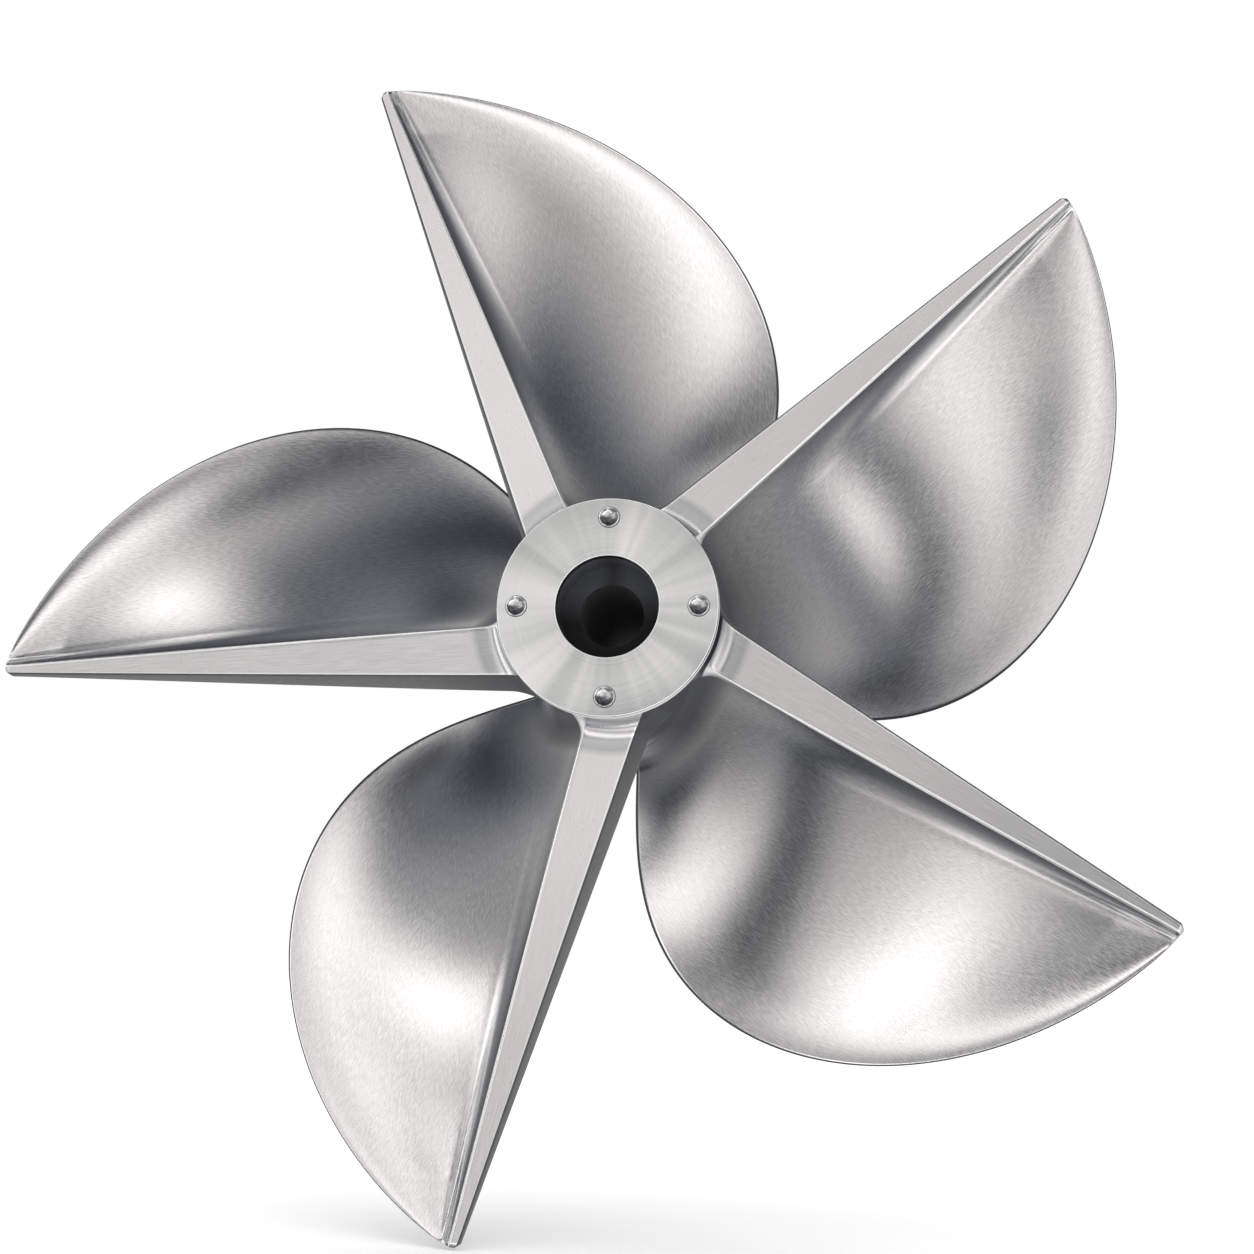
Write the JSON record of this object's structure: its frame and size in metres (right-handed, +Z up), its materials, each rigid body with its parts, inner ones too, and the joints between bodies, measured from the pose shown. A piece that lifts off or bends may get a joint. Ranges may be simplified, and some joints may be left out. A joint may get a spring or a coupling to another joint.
{
  "type": "surface-piercing boat propeller",
  "caption": "Right-handed boat propeller with raked cleaver blades, flat trailing lands, a bored hub and a screwed round face plate.",
  "frame": {"origin": "centre of the hub's forward face, on the shaft axis", "axes": "+Y forward along the shaft, -Y aft towards the face plate, +Z up, +X to the right seen from astern"},
  "size_m": [0.7846, 0.2601, 0.8017],
  "materials": {
    "cast_stainless": "satin, finely ground",
    "turned_stainless": "face turned",
    "polished_stainless": "polished domes"
  },
  "bodies": {
    "root": {"hub_barrel": "cast_stainless", "face_plate": "turned_stainless", "plate_screw_1": "polished_stainless", "plate_screw_2": "polished_stainless", "plate_screw_3": "polished_stainless", "plate_screw_4": "polished_stainless", "blade_1": "cast_stainless", "blade_2": "cast_stainless", "blade_3": "cast_stainless", "blade_4": "cast_stainless", "blade_5": "cast_stainless"}
  },
  "joints": []
}
